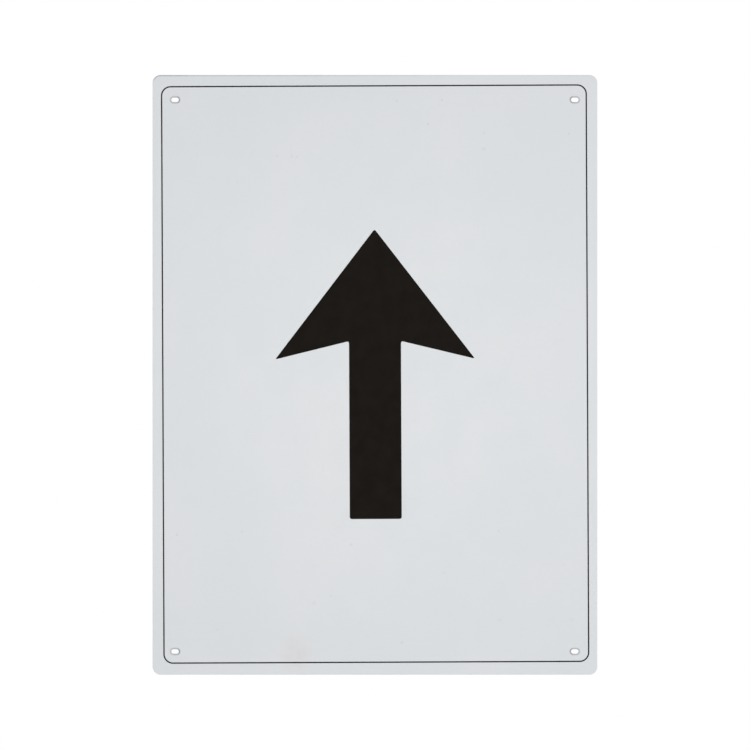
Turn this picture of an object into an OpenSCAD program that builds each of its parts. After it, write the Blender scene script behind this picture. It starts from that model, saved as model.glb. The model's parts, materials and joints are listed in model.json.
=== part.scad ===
// Flat sheet-metal traffic sign: one punched sheet with rounded corners, a rolled-over edge,
// four slotted fixing holes and a thin printed border line.
// The sheet stands upright. X runs along its width, Z up its height, and the face looks towards -Y.
// The origin is the centre of the back face.

/* [Sheet] */
// Width of the sheet
sheet_w = 445; // [300:1:900]
// Height of the sheet
sheet_h = 600; // [300:1:1200]
// Thickness of the coated metal
sheet_t = 1.2; // [0.8:0.1:3]
// Radius of the sheet's four corners
corner_r = 8; // [3:0.5:20]
// How far in from the outline the face starts to roll over
edge_roll_w = 0.6; // [0.4:0.1:1.5]
// How far the face has dropped where it meets the outline
edge_roll_d = 0.2; // [0.1:0.05:0.4]

/* [Fixing slots] */
// Distance from a side edge to the centre of the nearest slot
slot_inset_x = 22.5; // [18:0.5:60]
// Distance from the top or bottom edge to the centre of the nearest slot, before slot_drop
slot_inset_z = 24; // [18:0.5:60]
// How far the four slots together sit below the sheet's centre
slot_drop = 0.8; // [0:0.1:3]
// Width of a slot at the back of the sheet
slot_w = 4.5; // [3:0.5:6]
// End-to-end length of a slot at the back of the sheet
slot_l = 7.5; // [6.5:0.5:12]
// How far out from a slot's wall the face starts to roll over
mouth_roll_w = 1.5; // [0.6:0.1:2]
// How far the face has dropped where it meets a slot's wall
mouth_roll_d = 0.6; // [0.1:0.05:0.6]

/* [Border line] */
// Distance from a side edge to the middle of the line
border_inset_x = 10.1; // [6:0.1:12]
// Distance from the top or bottom edge to the middle of the line
border_inset_z = 11.7; // [6:0.1:14]
// Width of the line itself
border_line_w = 1.3; // [0.5:0.1:3]
// Corner radius at the middle of the line
border_r = 9; // [4:0.5:20]
// Thickness of the printed film
print_t = 0.1; // [0.05:0.05:0.3]
// How far the print sits to the right of the sheet's centre
print_right = 0.2; // [-1:0.1:1]
// How far the print sits above the sheet's centre
print_up = 0.8; // [-1:0.1:1]
// Turn of the print on the sheet in degrees, anticlockwise as seen from the front
print_turn = 0.25; // [-0.4:0.05:0.4]

/* [Hidden] */
$fn = 96;
COAT_WHITE = [0.87, 0.88, 0.89];
PRINT_BLACK = [0.12, 0.11, 0.10];
// How far a cutter runs past the surface that it opens
cut_past = 1;
slot_r = slot_w / 2;
slot_straight = slot_l - slot_w;
slot_x = sheet_w / 2 - slot_inset_x;
slot_z = sheet_h / 2 - slot_inset_z;

// Radius of the arc that leaves a flat face smoothly and drops by depth over width
function roll_radius(width, depth) = (width * width + depth * depth) / (2 * depth);

// Stands up a shape drawn flat: its Y becomes height and its Z runs towards the face
module stand_up() {
    rotate([90, 0, 0]) children();
}

// Section of the metal beside a punched edge at x = 0, out to where the face is flat
module rolled_edge(width, depth) {
    roll_r = roll_radius(width, depth);
    square([width, sheet_t - depth]);
    intersection() {
        square([width, sheet_t]);
        translate([width, sheet_t - roll_r]) circle(r = roll_r);
    }
}

// Half of the sheet's section, from its middle at x = 0 to a rolled-over edge at x = reach
module half_section(reach) {
    square([reach - edge_roll_w, sheet_t]);
    translate([reach, 0]) mirror([1, 0]) rolled_edge(edge_roll_w, edge_roll_d);
}

// Flat bar along X with both long edges rolled over
module rolled_bar(length, width) {
    rotate([90, 0, 90]) linear_extrude(height = length, center = true) {
        half_section(width / 2);
        mirror([1, 0]) half_section(width / 2);
    }
}

// The sheet before its slots are punched: two crossed bars, with a turned disc at each corner
module blank_sheet() {
    corner_x = sheet_w / 2 - corner_r;
    corner_y = sheet_h / 2 - corner_r;
    rolled_bar(2 * corner_x, sheet_h);
    rotate([0, 0, 90]) rolled_bar(2 * corner_y, sheet_w);
    for (x = [-corner_x, corner_x], y = [-corner_y, corner_y])
        translate([x, y, 0]) rotate_extrude() half_section(corner_r);
}

// Half of the punch's section, from the slot's middle at x = 0, wider at the rolled-over mouth
module half_punch() {
    translate([0, -cut_past]) square([slot_r, sheet_t + 2 * cut_past]);
    difference() {
        square([slot_r + mouth_roll_w, sheet_t + cut_past]);
        translate([slot_r, 0]) rolled_edge(mouth_roll_w, mouth_roll_d);
    }
}

// Punch for one slot that runs along X
module slot_punch() {
    for (side = [-1, 1])
        translate([side * slot_straight / 2, 0, 0]) rotate_extrude() half_punch();
    rotate([90, 0, 90]) linear_extrude(height = slot_straight, center = true) {
        half_punch();
        mirror([1, 0]) half_punch();
    }
}

module sign_plate() {
    color(COAT_WHITE) stand_up() difference() {
        blank_sheet();
        translate([0, -slot_drop, 0]) for (x = [-slot_x, slot_x], y = [-slot_z, slot_z])
            translate([x, y, 0]) slot_punch();
    }
}

// Flat rectangle with round corners, centred
module rounded_rectangle(width, height, radius) {
    square([width - 2 * radius, height], center = true);
    square([width, height - 2 * radius], center = true);
    for (x = [-1, 1], y = [-1, 1])
        translate([x * (width / 2 - radius), y * (height / 2 - radius)]) circle(r = radius);
}

// The border line moved outward by beside, or inward where beside is negative
module border_outline(beside) {
    rounded_rectangle(
        sheet_w - 2 * border_inset_x + 2 * beside,
        sheet_h - 2 * border_inset_z + 2 * beside,
        border_r + beside
    );
}

module border_line() {
    color(PRINT_BLACK) stand_up() translate([print_right, print_up, sheet_t])
        rotate([0, 0, print_turn]) linear_extrude(height = print_t) difference() {
            border_outline(border_line_w / 2);
            border_outline(-border_line_w / 2);
        }
}

sign_plate();
border_line();
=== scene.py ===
"""Looks of a flat sheet-metal traffic sign: white coat, black print, plain back, studio and camera.

Everything is in metres in the part's own frame: X along the width, Z up, the face towards -Y,
and the origin at the centre of the back face. Sizes written in millimetres go through MM.
"""
import json
import math

import bmesh
import bpy
from mathutils import Matrix, Vector


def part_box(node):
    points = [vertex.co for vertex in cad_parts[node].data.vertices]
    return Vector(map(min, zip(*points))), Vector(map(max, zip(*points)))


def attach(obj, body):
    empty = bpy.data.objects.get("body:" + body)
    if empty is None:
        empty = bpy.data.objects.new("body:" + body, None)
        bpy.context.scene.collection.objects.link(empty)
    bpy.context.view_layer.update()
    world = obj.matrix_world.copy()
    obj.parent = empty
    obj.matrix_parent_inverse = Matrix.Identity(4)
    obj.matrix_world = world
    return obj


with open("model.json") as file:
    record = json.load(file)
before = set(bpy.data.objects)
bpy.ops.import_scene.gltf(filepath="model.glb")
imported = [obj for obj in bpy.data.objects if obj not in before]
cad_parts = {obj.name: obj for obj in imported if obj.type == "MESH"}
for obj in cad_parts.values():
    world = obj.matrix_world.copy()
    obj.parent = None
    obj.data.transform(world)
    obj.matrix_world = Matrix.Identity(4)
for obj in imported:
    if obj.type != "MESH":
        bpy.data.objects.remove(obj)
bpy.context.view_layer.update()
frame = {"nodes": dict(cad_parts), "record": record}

MM = 0.001

# The sheet and its border line, measured in the frame
PLATE_LOW, PLATE_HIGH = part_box("sign_plate")
LINE_LOW, LINE_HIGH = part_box("border_line")
PLATE_WIDTH = PLATE_HIGH[0] - PLATE_LOW[0]
FACE_Y = PLATE_LOW[1]
PRINT_THICKNESS = FACE_Y - LINE_LOW[1]
PRINT_X = (LINE_LOW[0] + LINE_HIGH[0]) / 2
PRINT_Z = (LINE_LOW[2] + LINE_HIGH[2]) / 2

# The whole print is turned anticlockwise on the sheet, as the border line in the frame is
PRINT_TURN = math.radians(0.25)

# The fixing slots in the frame's record: half the distances between their centres, how far they
# sit below the sheet's middle, and the size of each
SLOTS = next(mount for mount in frame["record"]["mounts"] if mount["name"] == "fixing_holes")
SLOT_X = SLOTS["dims"]["spacing_x_mm"] / 2 * MM
SLOT_Z = SLOTS["dims"]["spacing_y_mm"] / 2 * MM
SLOT_DROP = -SLOTS["pos_m"][2]
SLOT_WIDTH = 2 * SLOTS["dims"]["hole_r_mm"] * MM
SLOT_LENGTH = SLOTS["dims"]["slot_length_mm"] * MM

# The sheet's corner radius, and the centre of its top right corner
CORNER_RADIUS = 8.0 * MM
CORNER_X = PLATE_HIGH[0] - CORNER_RADIUS
CORNER_Z = PLATE_HIGH[2] - CORNER_RADIUS

# The printed arrow, in millimetres
ARROW_HEIGHT = 290.0
HEAD_WIDTH = 200.0
HEAD_HEIGHT = 130.0
SHAFT_WIDTH = 52.0
BARB_SWEEP = 18.0
CORNER_CUT = 2.5

# How far the ink's edge is rounded, and how close two points are to count as one
INK_EDGE = 0.03 * MM
WELD_REACH = 0.001 * MM

# Small grey specks on the face: X and Z from the sheet's middle and radius, in millimetres,
# and how full their grey is
SPECKS = [
    (53, 251, 1.4, 1.0), (109, 242, 1.3, 0.8), (109, 226, 1.8, 0.8), (67, 275, 1.3, 1.0),
    (22, 274, 1.3, 0.8), (194, 241, 1.3, 1.0), (-198, -160, 1.3, 1.0), (27, -268, 1.4, 1.0),
    (-137, 193, 1.4, 0.5), (-98, 219, 1.8, 0.5), (-83, 219, 1.8, 0.5), (-78, 218, 1.8, 0.5),
    (-133, -157, 1.4, 0.6), (124, -156, 1.4, 0.6), (-24, -170, 1.6, 0.9), (189, -190, 1.6, 0.4),
    (69, -198, 1.6, 0.5), (-44, -221, 1.6, 0.5), (-61, -228, 1.8, 0.5), (125, -245, 2.0, 0.5),
    (197, -245, 2.0, 0.5), (-158, -255, 1.8, 0.4),
]
# In a speck's radii from its middle, where its grey ends and where it is full
SPECK_FADE = (1.4, 0.3)

# The faint smudge across the line near the bottom edge: its middle, and half its size
SMUDGE_X = -80.0 * MM
SMUDGE_Z = -279.0 * MM
SMUDGE_HALF_WIDTH = 22.0 * MM
SMUDGE_HALF_HEIGHT = 28.0 * MM
# As a share of that half size, where the smudge ends and where it is full
SMUDGE_FADE = (1.0, 0.1)

# Painted shade round each slot's mouth: out from the slot's wall, where its grey rim ends and where
# it is full
PAINTED_RIM_SHADE_FADE = (2.2 * MM, 0.7 * MM)
# Out from a slot's middle, where its painted shade deepens towards the sheet's middle, and its
# strength there
PAINTED_RIM_SHADE_ENDS = (-1.0 * MM, -4.0 * MM)
PAINTED_RIM_SHADE_STRENGTH = (0.62, 1.0)

# Painted shade along the top edge: in from the edge, where it ends and where it is full
PAINTED_TOP_SHADE_FADE = (1.9 * MM, 0.6 * MM)
# How far up the round of a corner the painted shade rises to its full strength
PAINTED_TOP_SHADE_RISE = 0.6 * CORNER_RADIUS
# From right to left along the top edge, where the painted shade deepens, and its strength there
PAINTED_TOP_SHADE_SPAN = (0.3 * PLATE_WIDTH, -0.3 * PLATE_WIDTH)
PAINTED_TOP_SHADE_STRENGTH = (0.25, 1.0)
# Where it deepens once more towards the left corner, and by how much
PAINTED_TOP_SHADE_CORNER_SPAN = (-0.38 * PLATE_WIDTH, -0.48 * PLATE_WIDTH)
PAINTED_TOP_SHADE_CORNER_GAIN = (1.0, 2.0)

# How much of the coat's colour the smudge, the specks, the painted shade along the top edge and the
# painted shade round the slots each cover where they are full
SMUDGE_SHARE = 0.22
SPECK_SHARE = 0.27
PAINTED_TOP_SHADE_SHARE = 0.50
PAINTED_RIM_SHADE_SHARE = 0.82

# How full the smudge, the painted top-edge shade and the painted slot shade are where their own
# noise is thinnest, and where it is thickest
SMUDGE_PATCHES = (0.5, 1.0)
PAINTED_TOP_SHADE_PATCHES = (0.6, 1.0)
PAINTED_RIM_SHADE_PATCHES = (0.75, 1.0)

# How much of the coat shows its grain, and of the back its wash, by the noise that spreads them
GRAIN_SHARE = (0.0, 0.25)
WASH_SHARE = (0.35, 0.70)

# Colours as the screen shows them, 0 to 255
COAT_COOL = (223, 226, 229)
COAT_PALE = (225, 227, 230)
COAT_GRAIN = (220, 223, 227)
SMUDGE_BROWN = (212, 196, 193)
SPECK_GREY = (186, 190, 196)
# Painted shade along the top edge
PAINTED_TOP_SHADE_GREY = (176, 178, 182)
# Painted shade round the slots' mouths
PAINTED_RIM_SHADE_GREY = (124, 124, 129)
METAL_DARK = (174, 177, 180)
METAL_LIGHT = (192, 194, 196)
WASH_GREY = (186, 189, 190)
FLOOR_DARK = (240, 240, 240)
FLOOR_LIGHT = (243, 243, 243)

# The ink's colour, in the linear values that shaders take
THICK_INK = (0.0074, 0.0057, 0.0043, 1)
THIN_INK = (0.0090, 0.0070, 0.0054, 1)

# Least and greatest roughness of each finish
COAT_ROUGHNESS = (0.36, 0.42)
METAL_ROUGHNESS = (0.44, 0.50)
INK_ROUGHNESS = (0.60, 0.70)

# The ink's specular level, and how metallic the bare metal and its wash are
INK_SPECULAR = 0.06
METAL_METALLIC = 0.85

# Heights of the coat's orange peel, of its slow waves and of the ink's grain
PEEL_HEIGHT = 0.012 * MM
WAVE_HEIGHT = 0.6 * MM
WAVE_STRENGTH = 0.3
INK_GRAIN_HEIGHT = 0.004 * MM

# Noise across and along the rolling lines on the back
ROLLING_SCALE = (260.0, 260.0, 1.5)

# Ranges of a noise's values: most of them, nearly all, all that count, and its peaks alone
MOST_NOISE = (0.35, 0.65)
NEARLY_ALL_NOISE = (0.3, 0.7)
ALL_NOISE = (0.2, 0.8)
PEAKS = (0.55, 0.75)
# Most of the smudge's noise, which is full a little sooner
SMUDGE_NOISE = (0.35, 0.62)

# How far a surface looks out to the front, from 1 to -1, where the coat and the wash begin and end
COAT_SIDE = (0.2, 0.5)
WASH_SIDE = (-0.5, -0.8)

# Which sockets of a Mix node take its two values and give its result
MIX_SOCKETS = {"RGBA": (6, 7, 2), "FLOAT": (2, 3, 0)}

# The lamps: place, width and height in metres, power in watts, and colour
WARM_LIGHT = (1.0, 0.97, 0.90)
COOL_LIGHT = (0.97, 0.985, 1.0)
WHITE_LIGHT = (1.0, 1.0, 1.0)
LAMPS = {
    "key": ((0, -1.30, 0), (0.5, 0.7), 3.2, WARM_LIGHT),
    "side_left": ((-1.5, -0.9, 0), (0.7, 1.2), 3.7, COOL_LIGHT),
    "side_right": ((1.5, -0.9, 0), (0.7, 1.2), 6.0, COOL_LIGHT),
    "low": ((0, -0.9, -1.4), (1.4, 0.8), 4.0, COOL_LIGHT),
    "behind": ((0.4, 1.3, 0.5), (1.2, 1.2), 5.0, WHITE_LIGHT),
}
LAMP_AIM = Vector((0, 0, 0))
WORLD_STRENGTH = 0.58

# The floor's disc, and between which shares of its radius it fades out
FLOOR_DROP = 0.25
FLOOR_RADIUS = 0.9
FLOOR_SEGMENTS = 128
FLOOR_FADE = (0.35 * FLOOR_RADIUS, 0.98 * FLOOR_RADIUS)

# The picture's side and scale, and the middle of the sheet in it, in pixels from its left and top
PICTURE_SIDE = 750
PIXELS_PER_METRE = 999.6
SHEET_MIDDLE_X = 374.43
SHEET_MIDDLE_Y = 374.35

# The camera's distance from the face in metres, and the width of its sensor in millimetres
CAMERA_DISTANCE = 2.1
SENSOR = 36.0


def rounded(corners, cut, steps=6):
    """The outline with each corner drawn as a small curve that starts and ends at cut from it."""
    outline = []
    for k, corner in enumerate(corners):
        here = Vector(corner)
        start = here + (Vector(corners[k - 1]) - here).normalized() * cut
        end = here + (Vector(corners[(k + 1) % len(corners)]) - here).normalized() * cut
        for step in range(steps + 1):
            t = step / steps
            outline.append((1 - t) ** 2 * start + 2 * t * (1 - t) * here + t ** 2 * end)
    return outline


def arrow_outline():
    """A plain arrow that points up the sheet, in millimetres from the print's middle."""
    top = ARROW_HEIGHT / 2
    barb = top - HEAD_HEIGHT
    neck = barb + BARB_SWEEP
    right = [(SHAFT_WIDTH / 2, -top), (SHAFT_WIDTH / 2, neck), (HEAD_WIDTH / 2, barb)]
    left = [(-x, y) for x, y in reversed(right)]
    return rounded(right + [(0, top)] + left, CORNER_CUT)


def print_to_frame():
    """From the print's own plane, X right and Y up, to the face of the sheet."""
    place = Matrix.Translation((PRINT_X, FACE_Y, PRINT_Z))
    turn = Matrix.Rotation(-PRINT_TURN, 4, "Y")
    stand = Matrix.Rotation(math.radians(90), 4, "X")
    return place @ turn @ stand


def weld(mesh):
    """Joins doubled points, so that the shape is one closed skin."""
    skin = bmesh.new()
    skin.from_mesh(mesh)
    bmesh.ops.remove_doubles(skin, verts=skin.verts, dist=WELD_REACH)
    bmesh.ops.recalc_face_normals(skin, faces=skin.faces)
    skin.to_mesh(mesh)
    skin.free()


def ink_curve(name, outline):
    """A filled outline with the ink's thickness and its rounded edge."""
    curve = bpy.data.curves.new(name, "CURVE")
    curve.dimensions = "2D"
    curve.fill_mode = "BOTH"
    curve.extrude = PRINT_THICKNESS / 2 - INK_EDGE
    curve.bevel_depth = INK_EDGE
    curve.bevel_resolution = 2
    curve.offset = -INK_EDGE
    spline = curve.splines.new("POLY")
    spline.points.add(len(outline) - 1)
    for point, (x, y) in zip(spline.points, outline):
        point.co = (x * MM, y * MM, 0, 1)
    spline.use_cyclic_u = True
    return curve


def printed_piece(name, outline):
    """A flat printed shape on the face, with its edge slightly rounded."""
    curve = ink_curve(name, outline)
    holder = bpy.data.objects.new(name + "_curve", curve)
    bpy.context.scene.collection.objects.link(holder)
    depsgraph = bpy.context.evaluated_depsgraph_get()
    mesh = bpy.data.meshes.new_from_object(holder.evaluated_get(depsgraph))
    bpy.data.objects.remove(holder)
    bpy.data.curves.remove(curve)
    mesh.name = name
    mesh.transform(print_to_frame() @ Matrix.Translation((0, 0, PRINT_THICKNESS / 2)))
    weld(mesh)
    piece = bpy.data.objects.new(name, mesh)
    bpy.context.scene.collection.objects.link(piece)
    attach(piece, "root")
    return piece


class Nodes:
    """Short calls for building a node tree."""

    def __init__(self, tree):
        self.tree = tree

    def add(self, kind, **settings):
        """A new node with its settings."""
        node = self.tree.nodes.new(kind)
        for key, value in settings.items():
            setattr(node, key, value)
        return node

    def put(self, value, socket):
        """Links a socket's value, or sets a plain one."""
        if isinstance(value, bpy.types.NodeSocket):
            self.tree.links.new(value, socket)
        else:
            socket.default_value = value

    def place(self):
        """Where a point lies in the part's own frame."""
        return self.add("ShaderNodeTexCoord").outputs["Object"]

    def split(self, vector):
        """The X, Y and Z of a vector."""
        node = self.add("ShaderNodeSeparateXYZ")
        self.put(vector, node.inputs[0])
        return node.outputs["X"], node.outputs["Y"], node.outputs["Z"]

    def distance(self, vector, point):
        """How far a vector's end lies from a point."""
        node = self.add("ShaderNodeVectorMath", operation="DISTANCE")
        self.put(vector, node.inputs[0])
        self.put(point, node.inputs[1])
        return node.outputs["Value"]

    def noise(self, scale, detail=4.0, roughness=0.5, vector=None):
        """Soft noise over the object, or over another vector."""
        node = self.add("ShaderNodeTexNoise")
        self.put(vector or self.place(), node.inputs["Vector"])
        self.put(scale, node.inputs["Scale"])
        self.put(detail, node.inputs["Detail"])
        self.put(roughness, node.inputs["Roughness"])
        return node.outputs["Fac"]

    def between(self, value, span, result=(0.0, 1.0)):
        """Maps the span's two ends smoothly to the result's two, held past both."""
        node = self.add("ShaderNodeMapRange", interpolation_type="SMOOTHSTEP")
        self.put(value, node.inputs["Value"])
        self.put(span[0], node.inputs["From Min"])
        self.put(span[1], node.inputs["From Max"])
        self.put(result[0], node.inputs["To Min"])
        self.put(result[1], node.inputs["To Max"])
        return node.outputs["Result"]

    def math(self, operation, first, second=0.0):
        """One step of arithmetic."""
        node = self.add("ShaderNodeMath", operation=operation)
        self.put(first, node.inputs[0])
        self.put(second, node.inputs[1])
        return node.outputs[0]

    def product(self, first, *others):
        """All the values multiplied."""
        for other in others:
            first = self.math("MULTIPLY", first, other)
        return first

    def size(self, value):
        """A value without its sign."""
        return self.math("ABSOLUTE", value)

    def past(self, value, limit):
        """How far a value goes past a limit, and zero short of it."""
        return self.math("MAXIMUM", self.math("SUBTRACT", value, limit), 0.0)

    def length(self, across, up):
        """The long side of a right-angled triangle."""
        squares = self.math("ADD", self.product(across, across), self.product(up, up))
        return self.math("SQRT", squares)

    def mix(self, share, first, second, kind="RGBA"):
        """Mixes two colours, or two numbers where the kind is FLOAT."""
        first_socket, second_socket, result_socket = MIX_SOCKETS[kind]
        node = self.add("ShaderNodeMix", data_type=kind)
        self.put(share, node.inputs[0])
        self.put(first, node.inputs[first_socket])
        self.put(second, node.inputs[second_socket])
        return node.outputs[result_socket]

    def mix_shaders(self, share, first, second):
        """Mixes two shaders."""
        node = self.add("ShaderNodeMixShader")
        for value, socket in zip((share, first, second), node.inputs):
            self.put(value, socket)
        return node.outputs[0]

    def bump(self, height, distance, strength=1.0, normal=None):
        """Fine relief, laid over a normal if there is one."""
        node = self.add("ShaderNodeBump")
        self.put(height, node.inputs["Height"])
        self.put(distance, node.inputs["Distance"])
        self.put(strength, node.inputs["Strength"])
        if normal is not None:
            self.put(normal, node.inputs["Normal"])
        return node.outputs["Normal"]

    def show(self, shader, output="ShaderNodeOutputMaterial"):
        """Makes a shader the one that the tree gives."""
        self.put(shader, self.add(output).inputs["Surface"])

    def surface(self, **inputs):
        """A Principled shader, whose inputs are named with an underscore for each space."""
        node = self.add("ShaderNodeBsdfPrincipled")
        for key, value in inputs.items():
            self.put(value, node.inputs[key.replace("_", " ")])
        self.show(node.outputs["BSDF"])


def new_material(name):
    """A material with an empty node tree, and the calls that fill it."""
    material = bpy.data.materials.new(name)
    material.use_nodes = True
    material.node_tree.nodes.clear()
    return material, Nodes(material.node_tree)


def rgb(shade):
    """A colour given as the screen shows it, 0 to 255, in the linear values that shaders take."""
    def linear(value):
        value /= 255
        return value / 12.92 if value <= 0.04045 else ((value + 0.055) / 1.055) ** 2.4
    return (*map(linear, shade), 1)


def painted_slot_rim_shade(n, x, z):
    """Painted shade: one on a slot's rolled-over mouth and fading just outside it, strongest at its
    inner end.
    """
    across = n.math("SUBTRACT", n.size(x), SLOT_X)
    up = n.math("SUBTRACT", n.size(n.math("ADD", z, SLOT_DROP)), SLOT_Z)
    along = n.past(n.size(across), (SLOT_LENGTH - SLOT_WIDTH) / 2)
    from_wall = n.math("SUBTRACT", n.length(along, up), SLOT_WIDTH / 2)
    rim = n.between(from_wall, PAINTED_RIM_SHADE_FADE)
    inner_end = n.between(across, PAINTED_RIM_SHADE_ENDS, PAINTED_RIM_SHADE_STRENGTH)
    patches = n.between(n.noise(scale=500.0, detail=2.0), MOST_NOISE, PAINTED_RIM_SHADE_PATCHES)
    return n.product(rim, inner_end, patches)


def painted_top_edge_shade(n, x, z):
    """Painted shade: a thin grey line along the top edge and its corners, heavier towards the left
    one.
    """
    out = n.past(n.size(x), CORNER_X)
    up = n.past(z, CORNER_Z)
    from_edge = n.math("SUBTRACT", CORNER_RADIUS, n.length(out, up))
    line = n.between(from_edge, PAINTED_TOP_SHADE_FADE)
    at_top = n.between(z, (CORNER_Z, CORNER_Z + PAINTED_TOP_SHADE_RISE))
    to_left = n.between(x, PAINTED_TOP_SHADE_SPAN, PAINTED_TOP_SHADE_STRENGTH)
    at_corner = n.between(x, PAINTED_TOP_SHADE_CORNER_SPAN, PAINTED_TOP_SHADE_CORNER_GAIN)
    patches = n.between(n.noise(scale=35.0, detail=3.0), MOST_NOISE, PAINTED_TOP_SHADE_PATCHES)
    return n.product(line, at_top, to_left, at_corner, patches)


def specks(n, x, z):
    """One in the middle of each small speck on the face, fading to zero round it."""
    on_sheet = n.add("ShaderNodeCombineXYZ")
    n.put(x, on_sheet.inputs["X"])
    n.put(z, on_sheet.inputs["Z"])
    mask = 0.0
    for speck_x, speck_z, radius, strength in SPECKS:
        away = n.distance(on_sheet.outputs[0], (speck_x * MM, 0, speck_z * MM))
        fade = [share * radius * MM for share in SPECK_FADE]
        mask = n.math("MAXIMUM", n.between(away, fade, (0.0, strength)), mask)
    return mask


def smudge(n, x, z):
    """A soft patch of handling dirt, broken up by noise."""
    across = n.math("DIVIDE", n.math("SUBTRACT", x, SMUDGE_X), SMUDGE_HALF_WIDTH)
    up = n.math("DIVIDE", n.math("SUBTRACT", z, SMUDGE_Z), SMUDGE_HALF_HEIGHT)
    patch = n.between(n.length(across, up), SMUDGE_FADE)
    broken = n.between(n.noise(scale=70.0, roughness=0.6), SMUDGE_NOISE, SMUDGE_PATCHES)
    return n.product(patch, broken)


def face_coat(n):
    """The white coat's colour, with its faint mottle and grain, the smudge and specks on it, and
    painted shade along the top edge and round the slots.
    """
    x, _, z = n.split(n.place())
    mottle = n.between(n.noise(scale=9.0, detail=3.0), MOST_NOISE)
    grain = n.between(n.noise(scale=160.0, detail=2.0), PEAKS, GRAIN_SHARE)
    coat = n.mix(mottle, rgb(COAT_COOL), rgb(COAT_PALE))
    coat = n.mix(grain, coat, rgb(COAT_GRAIN))
    marks_and_painted_shade = [
        (smudge, SMUDGE_SHARE, SMUDGE_BROWN),
        (specks, SPECK_SHARE, SPECK_GREY),
        # The last two are painted shade along the top edge and round the slots' mouths
        (painted_top_edge_shade, PAINTED_TOP_SHADE_SHARE, PAINTED_TOP_SHADE_GREY),
        (painted_slot_rim_shade, PAINTED_RIM_SHADE_SHARE, PAINTED_RIM_SHADE_GREY),
    ]
    for mask, share, shade in marks_and_painted_shade:
        coat = n.mix(n.product(mask(n, x, z), share), coat, rgb(shade))
    return coat


def rolling_lines(n):
    """Noise drawn out up the sheet, as the mill's rollers leave the metal."""
    lines = n.add("ShaderNodeMapping")
    n.put(n.place(), lines.inputs["Vector"])
    n.put(ROLLING_SCALE, lines.inputs["Scale"])
    return n.noise(scale=1.0, detail=3.0, roughness=0.6, vector=lines.outputs["Vector"])


def coated_sheet():
    """White coat on the face and rolled edges, raw metal in the cut, a thin wash on the back."""
    material, n = new_material("coated_sheet")
    _, to_back, _ = n.split(n.add("ShaderNodeTexCoord").outputs["Normal"])
    outward = n.product(to_back, -1.0)
    on_face = n.between(outward, COAT_SIDE)
    on_back = n.between(outward, WASH_SIDE)
    bare = n.math("SUBTRACT", 1.0, on_face)

    rolling = rolling_lines(n)
    metal = n.mix(rolling, rgb(METAL_DARK), rgb(METAL_LIGHT))
    wash_share = n.between(n.noise(scale=14.0), NEARLY_ALL_NOISE, WASH_SHARE)
    wash = n.mix(wash_share, metal, rgb(WASH_GREY))
    colour = n.mix(on_face, metal, face_coat(n))
    colour = n.mix(on_back, colour, wash)

    coat_roughness = n.between(n.noise(scale=45.0, detail=3.0), NEARLY_ALL_NOISE, COAT_ROUGHNESS)
    metal_roughness = n.between(rolling, ALL_NOISE, METAL_ROUGHNESS)
    peel = n.bump(n.noise(scale=420.0, detail=2.0), PEEL_HEIGHT)
    n.surface(
        Base_Color=colour,
        Metallic=n.product(bare, METAL_METALLIC),
        Roughness=n.mix(bare, coat_roughness, metal_roughness, kind="FLOAT"),
        Normal=n.bump(n.noise(scale=5.0, detail=1.0), WAVE_HEIGHT, WAVE_STRENGTH, peel),
    )
    return material


def black_print():
    """Screen-printed black: slightly warm and matt, with a fine grain."""
    material, n = new_material("black_print")
    cover = n.between(n.noise(scale=60.0, detail=3.0), MOST_NOISE)
    n.surface(
        Base_Color=n.mix(cover, THICK_INK, THIN_INK),
        Roughness=n.between(n.noise(scale=90.0, detail=3.0), NEARLY_ALL_NOISE, INK_ROUGHNESS),
        Specular_IOR_Level=INK_SPECULAR,
        Normal=n.bump(n.noise(scale=1800.0, detail=2.0), INK_GRAIN_HEIGHT),
    )
    return material


def dress(piece, material):
    """Gives a piece one material all over."""
    piece.data.materials.clear()
    piece.data.materials.append(material)


def area_light(name, place, size, power, colour):
    """A soft rectangular lamp that looks at the sign."""
    data = bpy.data.lights.new(name, "AREA")
    data.shape = "RECTANGLE"
    data.size, data.size_y = size
    data.energy = power
    data.color = colour
    lamp = bpy.data.objects.new(name, data)
    lamp.location = place
    lamp.rotation_euler = (LAMP_AIM - Vector(place)).to_track_quat("-Z", "Y").to_euler()
    bpy.context.scene.collection.objects.link(lamp)


def studio_lights():
    """One soft light in front, others at the sides and below, and one for the back."""
    for name, settings in LAMPS.items():
        area_light(name, *settings)


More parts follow.
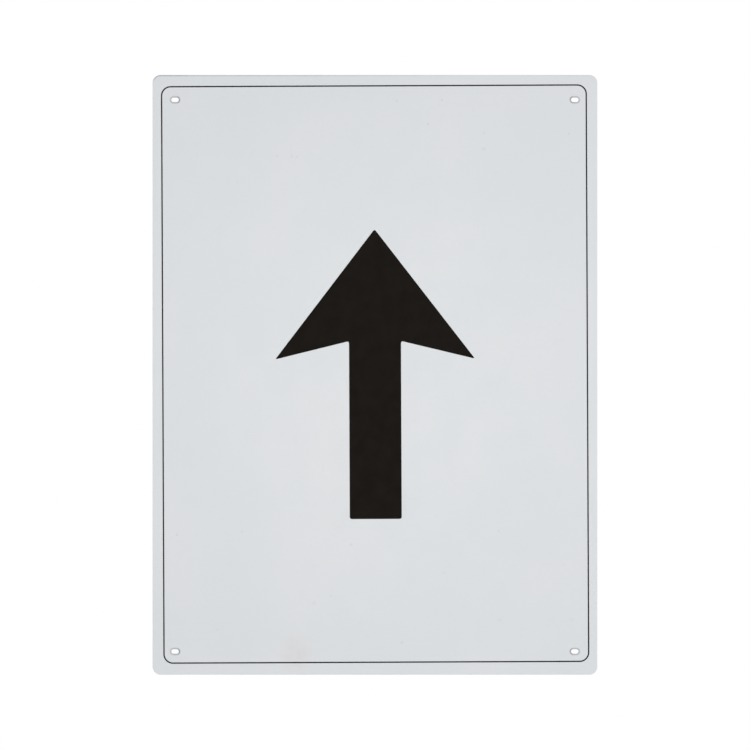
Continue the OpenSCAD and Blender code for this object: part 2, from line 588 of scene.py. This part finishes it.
def white_world():
    """Soft light from all round, and plain white behind the sign."""
    world = bpy.data.worlds.new("studio")
    bpy.context.scene.world = world
    world.use_nodes = True
    world.node_tree.nodes.clear()
    n = Nodes(world.node_tree)
    light = n.add("ShaderNodeBackground")
    n.put((*COOL_LIGHT, 1), light.inputs["Color"])
    n.put(WORLD_STRENGTH, light.inputs["Strength"])
    shown = n.add("ShaderNodeBackground")
    n.put((*WHITE_LIGHT, 1), shown.inputs["Color"])
    rays = n.add("ShaderNodeLightPath").outputs
    seen = n.math("MAXIMUM", rays["Is Camera Ray"], rays["Is Glossy Ray"])
    seen = n.math("MAXIMUM", seen, rays["Is Transmission Ray"])
    n.show(n.mix_shaders(seen, light.outputs[0], shown.outputs[0]), "ShaderNodeOutputWorld")


def floor_material():
    """Pale and matt in the middle, and clear at the rim."""
    material, n = new_material("floor")
    matte = n.add("ShaderNodeBsdfDiffuse")
    n.put(n.mix(n.noise(scale=3.0), rgb(FLOOR_DARK), rgb(FLOOR_LIGHT)), matte.inputs["Color"])
    clear = n.add("ShaderNodeBsdfTransparent")
    faded = n.between(n.distance(n.place(), (0, 0, 0)), FLOOR_FADE)
    n.show(n.mix_shaders(faded, matte.outputs[0], clear.outputs[0]))
    return material


def pale_floor():
    """A pale disc below the sign, out of the front view, that fades into the white around it."""
    mesh = bpy.data.meshes.new("floor")
    disc = bmesh.new()
    bmesh.ops.create_circle(disc, cap_ends=True, radius=FLOOR_RADIUS, segments=FLOOR_SEGMENTS)
    disc.to_mesh(mesh)
    disc.free()
    floor = bpy.data.objects.new("floor", mesh)
    floor.location = (0, 0, PLATE_LOW[2] - FLOOR_DROP)
    bpy.context.scene.collection.objects.link(floor)
    dress(floor, floor_material())


def camera():
    """Square on to the face, at the photo's scale and framing."""
    middle = (PICTURE_SIDE - 1) / 2
    data = bpy.data.cameras.new("camera")
    data.sensor_width = SENSOR
    data.lens = SENSOR * CAMERA_DISTANCE * PIXELS_PER_METRE / PICTURE_SIDE
    eye = bpy.data.objects.new("camera", data)
    eye.location = (
        (middle - SHEET_MIDDLE_X) / PIXELS_PER_METRE,
        FACE_Y - CAMERA_DISTANCE,
        (SHEET_MIDDLE_Y - middle) / PIXELS_PER_METRE,
    )
    eye.rotation_euler = (math.radians(90), 0, 0)
    bpy.context.scene.collection.objects.link(eye)
    bpy.context.scene.camera = eye


camera()
white_world()
studio_lights()
pale_floor()

sheet_material = coated_sheet()
print_material = black_print()
dress(frame["nodes"]["sign_plate"], sheet_material)
dress(frame["nodes"]["border_line"], print_material)
dress(printed_piece("arrow", arrow_outline()), print_material)

bpy.context.scene.view_settings.view_transform = "Standard"
